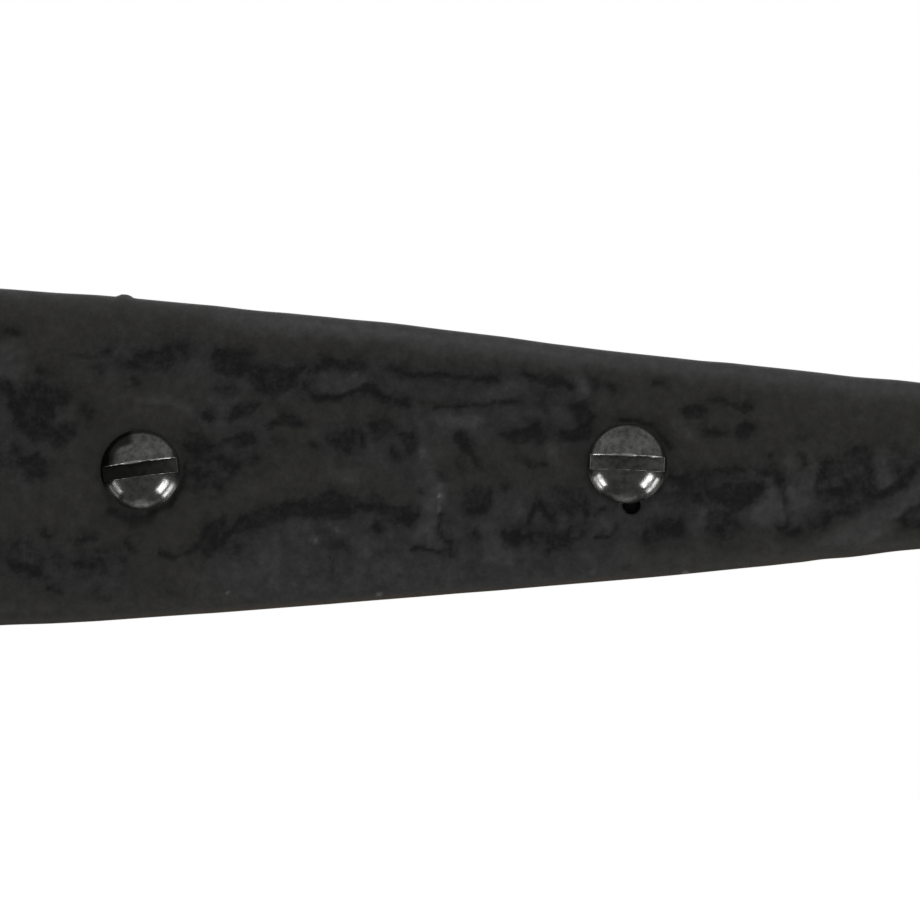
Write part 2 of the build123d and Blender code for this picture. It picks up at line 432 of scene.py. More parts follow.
iron_black = bpy.data.materials.new("iron_black")
iron_black.use_nodes = True
paint_tree = iron_black.node_tree
paint_shader = paint_tree.nodes["Principled BSDF"]
paint_shader.inputs["Specular IOR Level"].default_value = PAINT_SPECULAR
paint_finish = paint_tree.nodes.new("ShaderNodeGroup")
paint_finish.node_tree = cast_finish_group()
for tone_name, tone_colour in IRON_TONES.items():
    paint_finish.inputs[tone_name].default_value = (*tone_colour, 1)
paint_normal = bent_normal(paint_tree, paint_finish.outputs["Height"], 0.5, PAINT_GRAIN)
paint_tree.links.new(paint_finish.outputs["Color"], paint_shader.inputs["Base Color"])
paint_tree.links.new(paint_finish.outputs["Roughness"], paint_shader.inputs["Roughness"])
paint_tree.links.new(paint_normal, paint_shader.inputs["Normal"])
cross_plate.data.materials.append(iron_black)
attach(cross_plate, "frame_leaf")
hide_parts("cross_plate")


# Strap
# The long leaf, one iron casting with its single knuckle, tapering to a round tip. It has the same hammered
# pattern and paint as the cross plate, with a painted sheen along its upper edge.

STRAP_SCREWS = 4
DRIFTED_SCREW = 1
SCREW_DRIFT = -1.2 * MM
strap_low, strap_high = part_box("strap_screws")
first_screw = strap_low.x + HEAD_RADIUS
screw_spacing = (strap_high.x - HEAD_RADIUS - first_screw) / (STRAP_SCREWS - 1)
strap_places = [(first_screw + screw_spacing * i, 0.0) for i in range(STRAP_SCREWS)]
strap_places[DRIFTED_SCREW] = (strap_places[DRIFTED_SCREW][0], SCREW_DRIFT)

# Marks on the strap as lines and as outlines of patches. Each has the half width of its line
# or the softness of its rim in mm, its share, and its places in tenths of a millimetre: from the pin, and
# above the strap's middle.
HOLLOW_LINES = [
    (0.5, 0.95, [(589, 59), (599, 52), (604, 42)]),
    (0.5, 0.9, [(586, 38), (600, 32), (610, 23)]),
    (0.35, 0.8, [(600, 69), (608, 62)]),
    (0.75, 1.0, [(616, 63), (628, 58)]),
    (0.4, 0.65, [(602, 85), (614, 82)]),
    (0.5, 0.9, [(647, 48), (653, 42)]),
    (0.4, 0.8, [(632, 23), (620, 15)]),
    (0.5, 0.5, [(564, -4), (572, -12)]),
    (0.7, 0.45, [(577, 11), (584, -7)]),
    (0.35, 0.8, [(571, 126), (579, 123)]),
    (0.25, 0.5, [(639, 103), (655, 100), (670, 104)]),
    (0.4, 0.7, [(668, 106), (672, 105)]),
    (0.3, 0.6, [(658, 90), (664, 85)]),
    (0.5, 0.75, [(690, 92), (706, 96), (724, 96)]),
    (0.5, 0.95, [(735, 112), (748, 108)]),
    (0.35, 0.6, [(697, 76), (700, 74)]),
    (0.6, 1.0, [(794, 96), (805, 92)]),
    (0.4, 0.95, [(818, 89), (824, 77), (834, 74)]),
    (0.45, 0.9, [(842, 84), (854, 78)]),
    (0.4, 0.6, [(838, 20), (848, 15)]),
    (0.3, 0.75, [(768, 46), (774, 39)]),
    (0.55, 0.8, [(750, 12), (764, 6), (774, 11)]),
    (0.5, 0.75, [(770, -6), (786, 1), (801, -7), (820, -3)]),
    (0.5, 0.75, [(758, -14), (768, -18), (779, -14)]),
    (0.4, 0.75, [(780, -23), (784, -29)]),
    (0.5, 0.85, [(774, -76), (782, -84)]),
    (0.3, 0.65, [(726, -96), (739, -99), (756, -94), (766, -87)]),
    (0.6, 0.6, [(563, -100), (572, -94), (580, -90)]),
    (0.5, 0.85, [(578, -109), (596, -112), (606, -116)]),
    (1.4, 0.35, [(575, -100), (615, -104), (654, -110)]),
    (0.35, 0.75, [(610, -78), (614, -82)]),
    (0.35, 0.8, [(644, -84), (660, -81)]),
    (0.35, 0.7, [(694, -86), (697, -90)]),
    (0.5, 0.7, [(642, -106), (658, -110)]),
    (0.4, 0.55, [(668, -93), (680, -97)]),
    (0.4, 0.55, [(616, -132), (624, -135)]),
    (0.35, 0.6, [(592, -87), (596, -90)]),
    (0.5, 0.75, [(678, -52), (694, -60), (714, -60)]),
    (0.4, 0.6, [(679, -96), (690, -100)]),
    (0.5, 0.4, [(666, -104), (669, -114)]),
    (0.6, 0.4, [(664, -134), (672, -142)]),
    (0.5, 0.35, [(734, -130), (744, -140)]),
    (0.3, 0.5, [(790, -60), (794, -76)]),
    (0.35, 0.5, [(800, -83), (805, -90)]),
    (0.3, 0.55, [(898, -99), (898, -111)]),
    (1.1, 0.35, [(894, -79), (912, -89)]),
    (0.3, 0.5, [(953, -83), (956, -88)]),
    (0.5, 0.95, [(890, 98), (902, 98)]),
    (0.45, 0.95, [(908, 95), (922, 92)]),
    (0.8, 0.5, [(864, 92), (880, 96), (924, 94)]),
    (0.35, 0.9, [(868, 74), (875, 65), (885, 61), (900, 64), (912, 67), (928, 69)]),
    (0.35, 0.8, [(961, 60), (972, 55)]),
    (0.35, 0.6, [(984, 60), (989, 52)]),
    (0.35, 0.6, [(942, 92), (965, 88)]),
    (0.38, 0.9, [(965, 88), (982, 86), (1005, 86), (1025, 84), (1045, 84), (1060, 85)]),
    (0.28, 0.7, [(998, 55), (1020, 56), (1040, 57), (1058, 58)]),
    (0.35, 0.85, [(1065, 57), (1082, 61)]),
    (0.45, 1.0, [(900, 19), (905, 16)]),
    (0.4, 0.85, [(912, 12), (914, 7)]),
    (0.35, 0.75, [(956, 9), (959, 7)]),
    (0.3, 0.55, [(926, 28), (928, 15)]),
    (0.35, 0.5, [(876, 16), (882, 13)]),
    (0.35, 0.65, [(1023, -2), (1028, -8)]),
    (0.4, 0.65, [(1041, -1), (1045, -5)]),
    (0.3, 0.6, [(1005, -11), (1008, -19)]),
    (0.4, 0.65, [(1068, -26), (1070, -30)]),
    (0.3, 0.6, [(984, -29), (986, -31)]),
    (0.4, 0.9, [(912, -53), (920, -48)]),
    (0.45, 0.85, [(922, -45), (940, -46), (952, -50)]),
    (0.25, 0.9, [(1005, -55), (1004, -65), (1010, -75), (1015, -83), (1020, -93)]),
    (0.2, 0.8, [(978, -87), (990, -87), (1003, -90), (1015, -90)]),
    (0.5, 0.55, [(1039, -69), (1041, -79)]),
    (0.4, 0.6, [(940, -66), (944, -70)]),
    (0.35, 0.85, [(1094, -60), (1100, -45), (1105, -40), (1112, -50), (1120, -60)]),
    (0.45, 0.85, [(1070, -71), (1076, -77), (1085, -72), (1096, -75)]),
    (0.45, 0.8, [(1104, -82), (1112, -86), (1130, -79), (1136, -68)]),
    (0.35, 0.85, [(1126, -29), (1134, -32), (1144, -42), (1152, -49)]),
    (0.35, 0.8, [(1127, -42), (1132, -47)]),
    (0.25, 0.7, [(1161, -52), (1168, -45), (1178, -49), (1182, -62), (1178, -72), (1162, -73)]),
    (0.4, 0.95, [(1139, 56), (1144, 52)]),
    (0.45, 0.95, [(1128, 27), (1148, 27)]),
    (0.5, 0.85, [(1097, 32), (1106, 27)]),
    (0.35, 0.55, [(1084, 2), (1094, -3), (1110, -2)]),
    (0.4, 0.85, [(1172, 78), (1177, 75)]),
    (0.35, 0.75, [(1218, 82), (1225, 80)]),
    (0.35, 0.5, [(1274, 64), (1290, 62)]),
    (0.7, 1.0, [(1234, -15), (1250, -16), (1268, -15)]),
    (0.4, 0.8, [(1268, -14), (1282, -8), (1300, -4), (1312, -6)]),
    (0.9, 0.55, [(1240, -13), (1280, -12), (1320, -13)]),
    (0.4, 0.9, [(1324, -8), (1340, -8), (1348, -14)]),
    (0.4, 0.6, [(1335, 9), (1342, 13)]),
    (0.4, 0.5, [(1364, 29), (1374, 28)]),
    (1.0, 0.65, [(1240, -28), (1260, -32), (1278, -30)]),
    (0.45, 0.7, [(1280, -65), (1288, -68)]),
    (0.5, 0.85, [(1216, -62), (1234, -66)]),
    (0.45, 0.8, [(1348, -63), (1356, -68), (1364, -66)]),
    (0.5, 0.7, [(1380, -61), (1390, -56), (1392, -48)]),
    (0.35, 0.5, [(1354, -54), (1353, -59)]),
    (0.9, 0.6, [(1404, -43), (1418, -41), (1432, -35)]),
    (0.7, 0.5, [(1372, -52), (1386, -60), (1392, -54)]),
    (0.4, 0.75, [(1385, 3), (1393, 5), (1406, 4)]),
    (0.5, 0.7, [(1412, 12), (1424, 17), (1434, 13)]),
    (0.5, 0.8, [(1426, 6), (1433, -4)]),
    (0.5, 0.75, [(1386, -8), (1390, -16)]),
    (0.45, 0.7, [(1404, -6), (1409, -14)]),
    (0.25, 0.4, [(1347, -16), (1349, -32), (1351, -44)]),
    (0.3, 0.55, [(1363, 8), (1369, 9), (1371, 2), (1366, -3)]),
    (0.6, 0.8, [(1394, -24), (1408, -30), (1426, -26), (1442, -29), (1454, -24), (1468, -17)]),
    (0.9, 0.45, [(1462, 12), (1468, -6)]),
    (0.5, 0.85, [(1468, -17), (1475, -5), (1486, 3)]),
    (0.25, 0.7, [(1434, 2), (1436, -10)]),
    (0.3, 0.9, [(749, -4), (747, -27), (734, -46), (714, -55)]),
    (0.3, 1.0, [(1188, 44), (1200, 43), (1214, 38), (1226, 28), (1233, 15)]),
    (0.25, 0.7, [(1200, -43), (1220, -33), (1233, -15)]),
    (0.35, 0.9, [(1186, -46), (1197, -50), (1209, -45)]),
]
HOLLOW_PATCHES = [
    (0.25, 0.8, [(563, 69), (571, 72), (579, 67), (580, 55), (575, 47), (573, 60)]),
    (0.35, 0.8, [(587, 72), (611, 70), (618, 52), (612, 27), (599, 17), (580, 35)]),
    (0.3, 0.55, [(612, 26), (624, 35), (638, 32), (638, 20), (626, 11)]),
    (0.3, 0.75, [(587, -2), (602, 4), (612, -8), (611, -18), (596, -20)]),
    (0.35, 0.6, [(689, 94), (701, 101), (720, 106), (739, 100), (726, 89), (704, 88)]),
    (0.35, 0.85, [(776, 101), (788, 108), (810, 104), (813, 93), (803, 86), (782, 90)]),
    (0.25, 0.6, [(779, 68), (794, 72), (804, 67), (791, 61)]),
    (0.35, 0.7, [(816, 90), (832, 94), (853, 88), (860, 75), (836, 64), (819, 72)]),
    (0.25, 0.8, [(794, 41), (801, 50), (824, 56), (813, 47)]),
    (0.25, 0.8, [(833, 34), (844, 44), (863, 43), (866, 35), (850, 36)]),
    (0.25, 0.7, [(788, 18), (804, 22), (819, 25), (816, 16), (798, 13)]),
    (0.5, 0.5, [(746, 18), (763, 24), (780, 6), (801, -9), (780, -27), (762, -30)]),
    (0.35, 0.7, [(763, -84), (776, -65), (788, -65), (788, -83), (776, -96)]),
    (0.35, 0.8, [(792, -72), (813, -57), (832, -51), (874, -40), (874, -49), (836, -64)]),
    (0.25, 0.85, [(874, 88), (888, 99), (902, 101), (918, 97), (927, 91), (898, 95)]),
    (0.25, 0.9, [(926, 76), (938, 74), (954, 62), (952, 58), (937, 65)]),
    (0.25, 0.9, [(1087, 88), (1105, 85), (1126, 85), (1136, 73), (1129, 76), (1105, 80)]),
    (0.3, 0.7, [(894, 25), (903, 30), (916, 33), (918, 16), (910, 4), (902, 11)]),
    (0.3, 0.75, [(934, 38), (948, 41), (957, 33), (941, 22)]),
    (0.25, 0.85, [(964, 26), (975, 28), (977, 21), (974, 10), (970, 21)]),
    (0.2, 0.95, [(1019, 25), (1027, 25), (1035, 17), (1038, 6), (1027, 14)]),
    (0.3, 0.7, [(1030, -33), (1040, -29), (1056, -31), (1052, -46), (1038, -53), (1029, -44)]),
    (0.35, 0.75, [(865, -42), (896, -31), (924, -42), (914, -56), (885, -56), (865, -54)]),
    (0.3, 0.85, [(952, -46), (977, -49), (981, -55), (973, -63), (963, -61)]),
    (0.35, 0.6, [(1069, -70), (1090, -70), (1113, -72), (1152, -70), (1114, -88), (1074, -80)]),
    (0.35, 0.55, [(1118, -30), (1130, -24), (1145, -27), (1154, -44), (1137, -52)]),
    (0.3, 0.75, [(1136, 58), (1148, 61), (1156, 47), (1155, 27), (1126, 24), (1146, 36)]),
    (0.3, 0.5, [(1067, 27), (1097, 35), (1111, 27), (1107, 20), (1077, 20)]),
    (0.35, 0.45, [(1102, 65), (1114, 72), (1120, 60), (1110, 48)]),
    (0.3, 0.5, [(1156, 84), (1179, 78), (1177, 70), (1162, 72)]),
    (0.2, 0.9, [(1246, 56), (1258, 58), (1271, 53), (1268, 47), (1254, 48)]),
    (0.2, 0.85, [(1294, 61), (1305, 57), (1311, 63), (1316, 58), (1307, 52)]),
    (0.25, 0.75, [(1269, 34), (1280, 35), (1289, 30), (1277, 28)]),
    (0.25, 0.8, [(1301, 34), (1309, 42), (1317, 39), (1314, 30), (1307, 27)]),
    (0.3, 1.0, [(1273, -29), (1290, -23), (1326, -20), (1320, -30), (1305, -44), (1292, -38)]),
    (0.35, 0.45, [(1273, -52), (1296, -48), (1306, -66), (1294, -74), (1274, -68)]),
    (0.4, 0.65, [(1208, -52), (1246, -58), (1246, -70), (1212, -77)]),
    (0.4, 0.5, [(1384, -4), (1412, 4), (1434, 2), (1434, -12), (1440, -24), (1400, -42), (1382, -24)]),
    (0.4, 0.6, [(1463, -53), (1473, -44), (1487, -37), (1487, -58), (1470, -62)]),
]
RIDGE_LINES = [
    (0.25, 0.7, [(618, 33), (624, 39), (636, 43)]),
    (0.25, 0.45, [(702, 58), (730, 56), (748, 50), (764, 39), (774, 26)]),
    (0.6, 0.45, [(840, -76), (844, -94), (840, -116)]),
    (0.3, 0.8, [(898, 75), (918, 72)]),
    (0.2, 1.0, [(1006, -22), (1005, -50)]),
    (0.35, 0.8, [(987, 10), (995, 0)]),
    (0.2, 0.9, [(897, -65), (908, -72)]),
    (0.3, 0.8, [(878, -80), (882, -81)]),
    (0.8, 0.4, [(940, 13), (950, 3)]),
    (0.5, 0.5, [(1162, -54), (1172, -62)]),
    (0.7, 0.4, [(888, -20), (915, -15)]),
    (0.9, 0.4, [(1068, -36), (1082, -46)]),
    (0.4, 0.45, [(1099, -58), (1108, -54)]),
    (0.35, 0.9, [(1377, -10), (1375, -22)]),
    (0.35, 0.8, [(1356, -22), (1360, -42)]),
    (0.35, 0.5, [(1264, -62), (1270, -44)]),
    (1.3, 0.2, [(760, -126), (900, -114), (1060, -99), (1200, -85)]),
    (0.35, 0.55, [(1212, -43), (1226, -45)]),
    (0.4, 0.35, [(1242, 42), (1252, 28)]),
]
RIDGE_PATCHES = [
    (0.3, 0.35, [(563, 116), (577, 114), (585, 92), (586, 50), (578, 74), (563, 84)]),
    (0.6, 0.25, [(822, -89), (844, -66), (875, -60), (870, -124), (838, -126)]),
    (0.3, 0.5, [(890, 82), (910, 86), (924, 81), (920, 72), (894, 69)]),
    (0.25, 0.6, [(1000, 41), (1012, 46), (1032, 46), (1045, 42), (1038, 37), (1012, 36)]),
    (0.3, 0.5, [(1042, 63), (1056, 72), (1073, 77), (1084, 72), (1074, 64)]),
    (0.25, 0.65, [(1138, 82), (1148, 80), (1152, 70), (1147, 64)]),
    (0.3, 0.5, [(1115, 55), (1128, 59), (1134, 48), (1127, 36)]),
    (0.25, 0.6, [(1115, 17), (1122, 18), (1120, 2), (1115, -2)]),
    (0.35, 0.6, [(984, -20), (1002, -16), (1001, -60), (996, -80), (982, -78), (989, -52)]),
    (0.35, 0.65, [(1048, -66), (1058, -60), (1074, -87), (1072, -98), (1054, -98)]),
    (0.4, 0.4, [(920, -58), (934, -56), (936, -92), (926, -94)]),
    (0.3, 0.75, [(1331, -16), (1338, -25), (1346, -50), (1326, -57), (1316, -51)]),
    (0.3, 0.55, [(1352, 8), (1369, 17), (1381, 2), (1382, -16), (1363, -56), (1354, -52)]),
    (0.25, 0.75, [(1447, 16), (1455, 14), (1443, 0), (1456, -17), (1445, -21), (1437, -2)]),
    (0.4, 0.65, [(1388, -80), (1396, -66), (1430, -50), (1444, -37), (1486, -17), (1486, -32), (1464, -46),
                 (1453, -59), (1428, -78)]),
]
# Coarse ground, where the sand of the mould marked the skin.
ROUGH_LINES = [
    (2.0, 1.0, [(560, 90), (580, 40), (590, -10)]),
    (2.0, 0.9, [(600, 60), (620, 20)]),
    (2.0, 0.9, [(670, 100), (750, 100), (820, 80), (860, 80)]),
    (2.2, 0.9, [(780, 50), (820, 30), (780, -10)]),
    (2.0, 1.0, [(880, 80), (960, 80), (1040, 80), (1140, 70)]),
    (2.2, 1.0, [(980, 36), (1060, 40), (1140, 40)]),
    (2.0, 0.9, [(900, 20), (950, 10), (1000, -30)]),
    (3.4, 1.0, [(800, -100), (860, -80), (960, -70), (1060, -60), (1160, -56), (1240, -46)]),
    (3.4, 1.0, [(840, -120), (1000, -100), (1160, -80)]),
    (3.2, 1.0, [(1240, -46), (1340, -34), (1440, -20), (1500, -14)]),
    (2.2, 1.0, [(560, -100), (620, -110), (680, -120)]),
]
# Chips in the paint that show bright iron: share and place in mm.
STRAP_CHIPS = [
    (0.4, (100.6, -2.4)), (0.7, (100.5, -3.4)), (0.3, (100.4, -4.8)), (0.25, (98.8, 1.0)),
    (0.2, (98.7, 0.4)), (0.2, (90.3, -6.9)), (0.45, (88.2, -8.1)), (0.35, (91.9, 8.7)),
    (0.5, (79.5, -13.4)), (0.8, (94.6, -13.4)), (0.6, (115.9, -10.8)), (1.3, (125.2, -10.7)),
]


def drawn(lines, patches):
    """Marks in millimetres from lines and patches in tenths, each patch brought back to its first place."""
    rows = lines + [(soft, share, outline + outline[:1]) for soft, share, outline in patches]
    return [(width, share, [(x / 10, z / 10) for x, z in row]) for width, share, row in rows]


SEEN_FROM = 56.0
SEEN_TO = 149.5
SEEN_FADE = 6.0


def away_from_seen(along):
    """1 where the marks fall by chance, 0 where they are known."""
    begun = smoothstep(SEEN_FROM - SEEN_FADE, SEEN_FROM, along)
    ended = smoothstep(SEEN_TO, SEEN_TO + SEEN_FADE, along)
    return 1.0 - begun * (1.0 - ended)


# How far the strap's edges stray from their even curve: mm from the pin and mm upwards.
UPPER_EDGE = [
    (9, 0.0), (30, 0.05), (45, 0.0), (57, 0.13), (61.5, 0.1), (66, 0.17), (77, 0.085), (82, 0.0),
    (85.5, 0.05), (90.5, 0.05), (95.5, 0.14), (101.5, 0.045), (106, 0.03), (112.5, -0.11), (117, -0.15),
    (126, -0.09), (130, 0.04), (138, 0.1), (141.5, 0.085), (147, 0.27), (160, 0.05), (203, 0.0),
]
LOWER_EDGE = [
    (9, 0.0), (40, 0.06), (57, -0.02), (62, -0.09), (78, 0.03), (90, 0.07), (101, 0.02), (108, -0.07),
    (123, -0.17), (133, -0.1), (136.5, -0.055), (139.2, 0.045), (141.6, 0.003), (147, 0.18), (160, 0.02),
    (203, 0.0),
]
# How far the lower edge has rusted: mm from the pin and share.
LOWER_RUST = [
    (9, 0.5), (40, 0.3), (58, 0.2), (67, 0.2), (76, 1.0), (96, 1.0), (106, 0.6), (116, 0.9), (126, 0.2),
    (136, 0.7), (145, 0.3), (203, 0.4),
]
PIP_PLACE = 68.7
PIP_HEIGHT = 0.3
PIP_HALF_WIDTH = 0.7


def follow(points, along):
    """The value of a smooth line through points at a place along it."""
    for (ax, a), (bx, b) in zip(points, points[1:]):
        if along <= bx:
            return a + (b - a) * smoothstep(ax, bx, along)
    return points[-1][1]


def strap_edge_rise(along, upper):
    """Straying of the strap's outline, with the casting pip that was left on its upper edge."""
    if not upper:
        return follow(LOWER_EDGE, along)
    pip = PIP_HEIGHT * math.exp(-(((along - PIP_PLACE) / PIP_HALF_WIDTH) ** 4))
    return follow(UPPER_EDGE, along) + pip


def strap_edge_sheen(along):
    """Painted sheen on the upper edge, from a third of the way along, and less of it past the middle."""
    return 0.85 * smoothstep(74.0, 84.0, along) * (1.0 - 0.4 * smoothstep(108.0, 120.0, along))


strap = cast_copy("strap", "strap_casting")
hammer_face(
    strap,
    1.0,
    strap_places,
    marks=(drawn(HOLLOW_LINES, HOLLOW_PATCHES), drawn(RIDGE_LINES, RIDGE_PATCHES), drawn(ROUGH_LINES, [])),
    chips=STRAP_CHIPS,
    edge_rise=strap_edge_rise,
    edge_sheen=strap_edge_sheen,
    edge_rust=lambda along: follow(LOWER_RUST, along),
    chance=away_from_seen,
)
strap.data.materials.append(iron_black)
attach(strap, "strap_leaf")
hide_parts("strap")


# Hinge pin
# A plain iron rod through the three knuckles, its ends hammered over into low heads that hold the leaves
# together for good, and painted with them.

PIN_RADIUS = 3.0 * MM
PIN_HEAD_HEIGHT = 1.8 * MM
PIN_HEAD_RIM = 0.5 * MM
PIN_HEAD_BEVEL = 0.2 * MM
PIN_HEAD_RINGS = 14
PIN_STEPS = 64
PEEN_DEPTH = 0.12 * MM
PEEN_RATE = 520.0
PIN_SHARP_ANGLE = math.radians(50)
pin_low, pin_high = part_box("hinge_pin")
pin_head_radius = (pin_high.x - pin_low.x) / 2
pin_seat = pin_high.z - PIN_HEAD_HEIGHT


def dome_radius(radius, rise):
    """Radius of the ball that a domed head of this radius and rise is cut from."""
    return (radius**2 + rise**2) / (2 * rise)


def dome_line(radius, rise, crown, rings):
    """Half section of a domed head, from its crown at that height down to its rim, as radius and height."""
    ball = dome_radius(radius, rise)
    sweep = 2 * math.atan2(rise, radius)
    angles = [sweep * i / rings for i in range(rings + 1)]
    return [(ball * math.sin(a), crown - ball * (1 - math.cos(a))) for a in angles]


def turned(section, axis, steps):
    """A solid turned about an axis through the origin, from the line of places of its half section."""
    bm = bmesh.new()
    line = [bm.verts.new(place) for place in section]
    edges = [bm.edges.new(pair) for pair in zip(line, line[1:])]
    bmesh.ops.spin(
        bm, geom=line + edges, cent=(0, 0, 0), axis=axis, angle=2 * math.pi, steps=steps, use_merge=True
    )
    bmesh.ops.remove_doubles(bm, verts=bm.verts[:], dist=WELD)
    return bm


upper_section = dome_line(pin_head_radius, PIN_HEAD_HEIGHT - PIN_HEAD_RIM, pin_high.z, PIN_HEAD_RINGS)
upper_section += [
    (pin_head_radius, pin_seat + PIN_HEAD_BEVEL),
    (pin_head_radius - PIN_HEAD_BEVEL, pin_seat),
    (PIN_RADIUS, pin_seat),
]
lower_section = [(r, -z) for r, z in reversed(upper_section)]
pin_mesh = turned([(r, 0, z) for r, z in upper_section + lower_section], (0, 0, 1), PIN_STEPS)
bmesh.ops.recalc_face_normals(pin_mesh, faces=pin_mesh.faces[:])
for pin_vert in pin_mesh.verts:
    on_head = smoothstep(pin_seat + PIN_HEAD_RIM, pin_high.z - PIN_HEAD_RIM, abs(pin_vert.co.z))
    blow = max(0.0, noise.noise(pin_vert.co * PEEN_RATE)) * PEEN_DEPTH * on_head
    pin_vert.co.z -= math.copysign(blow, pin_vert.co.z)
bmesh.ops.translate(pin_mesh, vec=(pin_axis.x, pin_axis.y, 0), verts=pin_mesh.verts[:])
hinge_pin = add_piece("hinge_pin_peened", pin_mesh)
hinge_pin.data.shade_smooth()
hinge_pin.data.set_sharp_from_angle(angle=PIN_SHARP_ANGLE)
hinge_pin.data.materials.append(iron_black)
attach(hinge_pin, "frame_leaf")
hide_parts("hinge_pin")


# Screws
# Slotted round-head wood screws of plain dark steel, cold headed, with a rolled thread and a gimlet point.
# They were driven by hand, so each slot stands at its own angle, with burrs along its lips.

HEAD_HEIGHT = 2.6 * MM
HEAD_RIM = 0.6 * MM
HEAD_BEVEL = 0.15 * MM
HEAD_RINGS = 16
HEAD_STEPS = 64
HEAD_BALL = dome_radius(HEAD_RADIUS, HEAD_HEIGHT - HEAD_RIM)
NECK_ROUND = 0.3 * MM
SHANK_RADIUS = 2.05 * MM
SHANK_LENGTH = 11.0 * MM
SCREW_LENGTH = 32.0 * MM
CORE_RADIUS = 1.45 * MM
POINT_LENGTH = 6.0 * MM
POINT_SLACK = 0.02 * MM
THREAD_START = 0.1 * MM
THREAD_PITCH = 1.7 * MM
THREAD_HALF_WIDTH = 0.24
THREAD_RINGS = 96
SLOT_WIDTH = 1.45 * MM
SLOT_DEPTH = 1.6 * MM
UPPER_BURR_RADIUS = 0.14 * MM
LOWER_BURR_RADIUS = 0.04 * MM
END_BURR_RADIUS = 0.06 * MM
BURR_STEPS = 60
BURR_SIDES = 8
SCREW_SHARP_ANGLE = math.radians(35)
STEEL_GRAIN = 0.02 * MM
# Near-black tone of the darkened side of a head's rim and of its slot's floor.
DARKENED_STEEL = (0.03, 0.03, 0.028, 1)
DARK_REACH = (0.63, 0.76)
DARK_FACING = (0.25, 0.55)
# The slots' angles in degrees, and the side of each head's rim that is darkened nearly to black, along with
# the floor of its slot: its direction from the middle in degrees and its share.
PLATE_SLOTS = (24.0, -38.0, 71.0, -12.0)
STRAP_SLOTS = (-31.0, 8.2, -1.6, 52.0)
PLATE_DARK_SIDES = ((40.0, 0.6), (200.0, 0.8), (310.0, 0.5), (120.0, 0.7))
STRAP_DARK_SIDES = ((250.0, 0.6), (173.0, 1.0), (290.0, 0.2), (80.0, 0.7))


def screw_section():
    """Half section of the screw from its crown to its point, as radius and height above the leaf's face."""
    section = dome_line(HEAD_RADIUS, HEAD_HEIGHT - HEAD_RIM, HEAD_HEIGHT, HEAD_RINGS)
    section += [(HEAD_RADIUS, 0.5 * HEAD_RIM), (HEAD_RADIUS - HEAD_BEVEL, 0.0)]
    section += [(SHANK_RADIUS + NECK_ROUND, 0.0), (SHANK_RADIUS, -NECK_ROUND), (SHANK_RADIUS, -SHANK_LENGTH)]
    for i in range(1, THREAD_RINGS + 1):
        down = SHANK_LENGTH + (SCREW_LENGTH - SHANK_LENGTH) * i / THREAD_RINGS
        section.append((CORE_RADIUS * min(1.0, (SCREW_LENGTH - down) / POINT_LENGTH), -down))
    return section


def cut_thread(bm):
    """Raises a helical ridge on the core of a screw whose head faces -Y, with its underside at Y = 0."""
    for v in bm.verts:
        radius = math.hypot(v.co.x, v.co.z)
        if v.co.y < SHANK_LENGTH + THREAD_START or radius < POINT_SLACK:
            continue
        turn = math.atan2(v.co.z, v.co.x) / (2 * math.pi)
        phase = (v.co.y / THREAD_PITCH - turn) % 1.0
        crest = max(0.0, 1.0 - abs(phase - 0.5) / THREAD_HALF_WIDTH)
        fade = min(1.0, (SCREW_LENGTH - v.co.y) / POINT_LENGTH + 0.1)
        grown = radius + (SHANK_RADIUS - CORE_RADIUS) * crest * fade
        v.co.x *= grown / radius
        v.co.z *= grown / radius


def screw_steel(name, tone, bright_roughness, dull_roughness):
    """Bare dark steel with dull spots of tarnish, darkened nearly to black on one side of the rim and in the
    slot.
    """
    material = bpy.data.materials.new(name)
    material.use_nodes = True
    tree = material.node_tree
    shader = tree.nodes["Principled BSDF"]
    shader.inputs["Metallic"].default_value = 1.0
    tarnish = fine_noise(tree, 1500.0, 6.0, 0.65)
    ramp = tree.nodes.new("ShaderNodeValToRGB")
    dull, bright = ramp.color_ramp.elements
    dull.position = 0.38
    dull.color = (tone * 0.5, tone * 0.5, tone * 0.48, 1)
    bright.position = 0.60
    bright.color = (tone, tone * 0.99, tone * 0.96, 1)
    tree.links.new(tarnish, ramp.inputs["Fac"])
    # Near black where the point attribute marks the darkened side of the rim and the slot's floor.
    colour = blended(tree, point_value(tree, "paint"), ramp.outputs["Color"], DARKENED_STEEL)
    gloss = ranged(tree, tarnish, 0.65, 0.35, bright_roughness, dull_roughness)
    tree.links.new(colour, shader.inputs["Base Color"])
    tree.links.new(gloss, shader.inputs["Roughness"])
    tree.links.new(bent_normal(tree, tarnish, 0.35, STEEL_GRAIN), shader.inputs["Normal"])
    return material


screw_steels = (
    screw_steel("screw_steel", 0.23, 0.09, 0.22),
    screw_steel("slot_steel", 0.29, 0.35, 0.5),
    screw_steel("lip_steel", 0.50, 0.35, 0.55),
)
# Places of the last two among the materials of a screw.
SLOT_STEEL = 1
LIP_STEEL = 2


